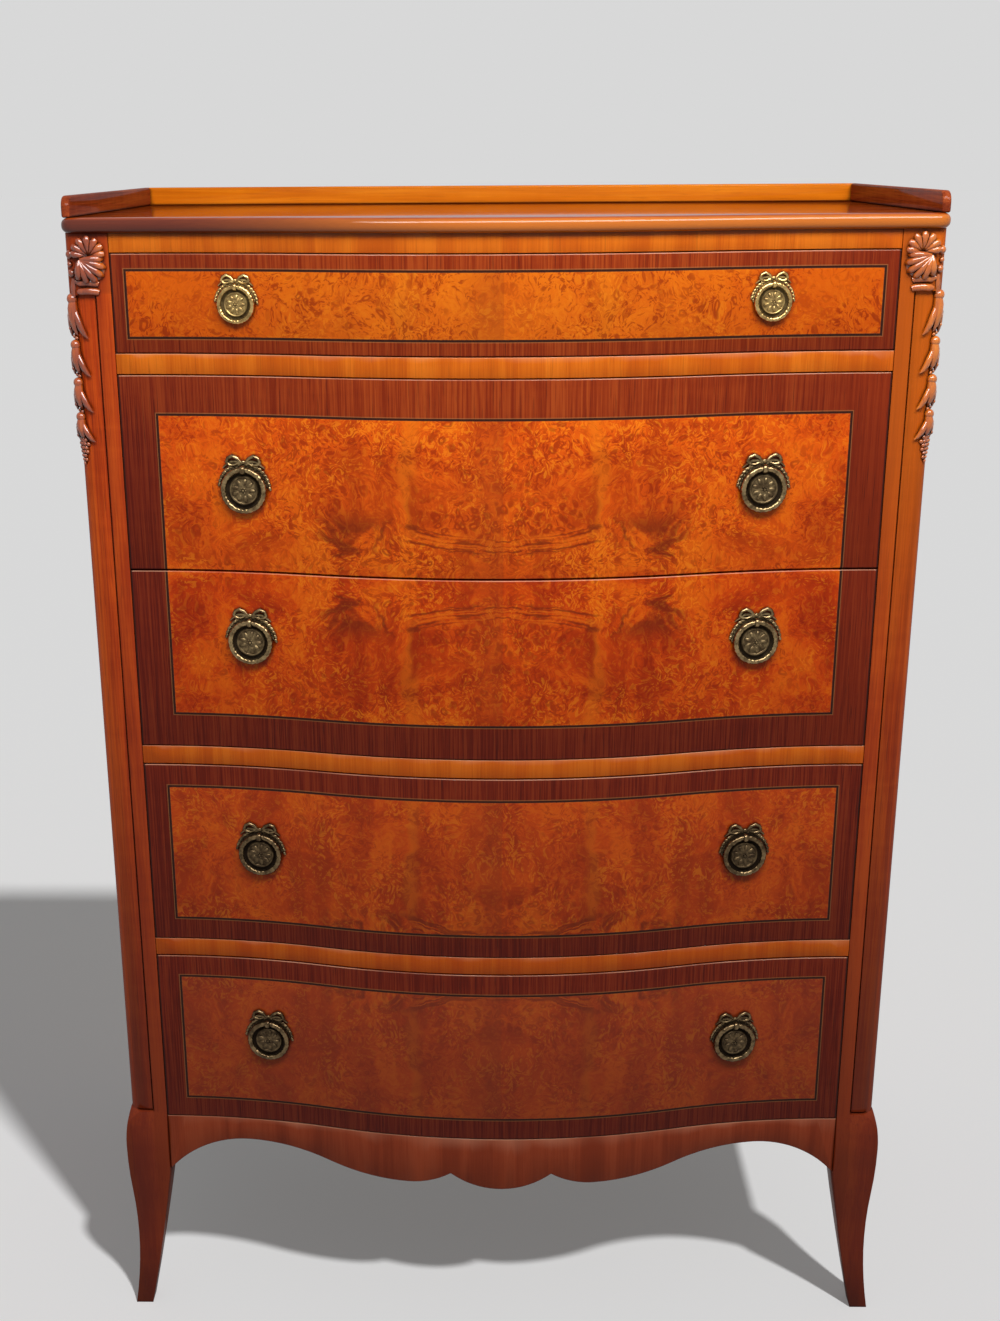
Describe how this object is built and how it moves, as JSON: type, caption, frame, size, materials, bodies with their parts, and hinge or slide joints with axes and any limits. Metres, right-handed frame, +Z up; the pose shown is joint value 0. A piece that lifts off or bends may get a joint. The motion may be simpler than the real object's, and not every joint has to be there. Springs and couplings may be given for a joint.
{
  "type": "bow front chest of drawers",
  "caption": "Tall bow front chest of drawers on sabre legs, with full-width sliding drawers, ring pulls, carved corner drops and a low gallery round the top.",
  "frame": {"origin": "on the floor, under the middle of the whole chest's bounding box", "axes": "+X to the right as seen from the front, +Y to the back, +Z up; the drawers open towards -Y"},
  "size_m": [0.929, 0.486, 1.3624],
  "materials": {
    "case_wood": "polished varnish",
    "burl_veneer": "polished varnish",
    "drawer_wood": "bare planed wood",
    "panel_wood": "bare sanded plywood",
    "antique_brass": "aged satin",
    "steel_screw": "plain"
  },
  "bodies": {
    "case": {"top_board": "case_wood", "gallery_back": "case_wood", "gallery_left": "case_wood", "gallery_right": "case_wood", "front_post_left": "case_wood", "front_post_right": "case_wood", "rear_post_left": "case_wood", "rear_post_right": "case_wood", "side_panel_left": "case_wood", "side_panel_right": "case_wood", "top_rail": "case_wood", "upper_rail": "case_wood", "middle_rail": "case_wood", "lower_rail": "case_wood", "divider_rail": "case_wood", "bottom_rail": "case_wood", "apron": "case_wood", "drawer_runners": "drawer_wood", "dust_panels": "panel_wood", "drawer_stops": "drawer_wood", "back_panel": "panel_wood", "rear_rails": "drawer_wood", "back_screws": "steel_screw", "carved_drop_left": "case_wood", "carved_drop_right": "case_wood"},
    "drawer_1": {"drawer_1_front": "burl_veneer", "drawer_1_sides": "drawer_wood", "drawer_1_back": "drawer_wood", "drawer_1_bottom": "panel_wood", "pull_plates_1": "antique_brass"},
    "pull_ring_1_right": {"pull_ring_1_right": "antique_brass"},
    "pull_ring_1_left": {"pull_ring_1_left": "antique_brass"},
    "drawer_2": {"drawer_2_front": "burl_veneer", "drawer_2_sides": "drawer_wood", "drawer_2_back": "drawer_wood", "drawer_2_bottom": "panel_wood", "pull_plates_2": "antique_brass"},
    "pull_ring_2_right": {"pull_ring_2_right": "antique_brass"},
    "pull_ring_2_left": {"pull_ring_2_left": "antique_brass"},
    "drawer_3": {"drawer_3_front": "burl_veneer", "drawer_3_sides": "drawer_wood", "drawer_3_back": "drawer_wood", "drawer_3_bottom": "panel_wood", "pull_plates_3": "antique_brass"},
    "pull_ring_3_right": {"pull_ring_3_right": "antique_brass"},
    "pull_ring_3_left": {"pull_ring_3_left": "antique_brass"},
    "drawer_4": {"drawer_4_front": "burl_veneer", "drawer_4_sides": "drawer_wood", "drawer_4_back": "drawer_wood", "drawer_4_bottom": "panel_wood", "pull_plates_4": "antique_brass"},
    "pull_ring_4_right": {"pull_ring_4_right": "antique_brass"},
    "pull_ring_4_left": {"pull_ring_4_left": "antique_brass"},
    "drawer_5": {"drawer_5_front": "burl_veneer", "drawer_5_sides": "drawer_wood", "drawer_5_back": "drawer_wood", "drawer_5_bottom": "panel_wood", "pull_plates_5": "antique_brass"},
    "pull_ring_5_right": {"pull_ring_5_right": "antique_brass"},
    "pull_ring_5_left": {"pull_ring_5_left": "antique_brass"}
  },
  "joints": [
    {"name": "drawer_1_slide", "type": "slide", "parent": "case", "child": "drawer_1", "axis": [0, -1, 0], "range_m": [0, 0.3]},
    {"name": "pull_ring_1_right_swing", "type": "hinge", "parent": "drawer_1", "child": "pull_ring_1_right", "pos_m": [0.2787, -0.20151, 1.2709], "axis": [-0.9893, -0.1461, 0], "range_deg": [0, 100]},
    {"name": "pull_ring_1_left_swing", "type": "hinge", "parent": "drawer_1", "child": "pull_ring_1_left", "pos_m": [-0.2787, -0.20151, 1.2709], "axis": [-0.9893, 0.1461, 0], "range_deg": [0, 100]},
    {"name": "drawer_2_slide", "type": "slide", "parent": "case", "child": "drawer_2", "axis": [0, -1, 0], "range_m": [0, 0.3]},
    {"name": "pull_ring_2_right_swing", "type": "hinge", "parent": "drawer_2", "child": "pull_ring_2_right", "pos_m": [0.27889, -0.2028, 1.07895], "axis": [-0.9893, -0.1461, 0], "range_deg": [0, 100]},
    {"name": "pull_ring_2_left_swing", "type": "hinge", "parent": "drawer_2", "child": "pull_ring_2_left", "pos_m": [-0.27889, -0.2028, 1.07895], "axis": [-0.9893, 0.1461, 0], "range_deg": [0, 100]},
    {"name": "drawer_3_slide", "type": "slide", "parent": "case", "child": "drawer_3", "axis": [0, -1, 0], "range_m": [0, 0.3]},
    {"name": "pull_ring_3_right_swing", "type": "hinge", "parent": "drawer_3", "child": "pull_ring_3_right", "pos_m": [0.27889, -0.2028, 0.9082], "axis": [-0.9893, -0.1461, 0], "range_deg": [0, 100]},
    {"name": "pull_ring_3_left_swing", "type": "hinge", "parent": "drawer_3", "child": "pull_ring_3_left", "pos_m": [-0.27889, -0.2028, 0.9082], "axis": [-0.9893, 0.1461, 0], "range_deg": [0, 100]},
    {"name": "drawer_4_slide", "type": "slide", "parent": "case", "child": "drawer_4", "axis": [0, -1, 0], "range_m": [0, 0.3]},
    {"name": "pull_ring_4_right_swing", "type": "hinge", "parent": "drawer_4", "child": "pull_ring_4_right", "pos_m": [0.27889, -0.2028, 0.6516], "axis": [-0.9893, -0.1461, 0], "range_deg": [0, 100]},
    {"name": "pull_ring_4_left_swing", "type": "hinge", "parent": "drawer_4", "child": "pull_ring_4_left", "pos_m": [-0.27889, -0.2028, 0.6516], "axis": [-0.9893, 0.1461, 0], "range_deg": [0, 100]},
    {"name": "drawer_5_slide", "type": "slide", "parent": "case", "child": "drawer_5", "axis": [0, -1, 0], "range_m": [0, 0.3]},
    {"name": "pull_ring_5_right_swing", "type": "hinge", "parent": "drawer_5", "child": "pull_ring_5_right", "pos_m": [0.27889, -0.2028, 0.4081], "axis": [-0.9893, -0.1461, 0], "range_deg": [0, 100]},
    {"name": "pull_ring_5_left_swing", "type": "hinge", "parent": "drawer_5", "child": "pull_ring_5_left", "pos_m": [-0.27889, -0.2028, 0.4081], "axis": [-0.9893, 0.1461, 0], "range_deg": [0, 100]}
  ]
}
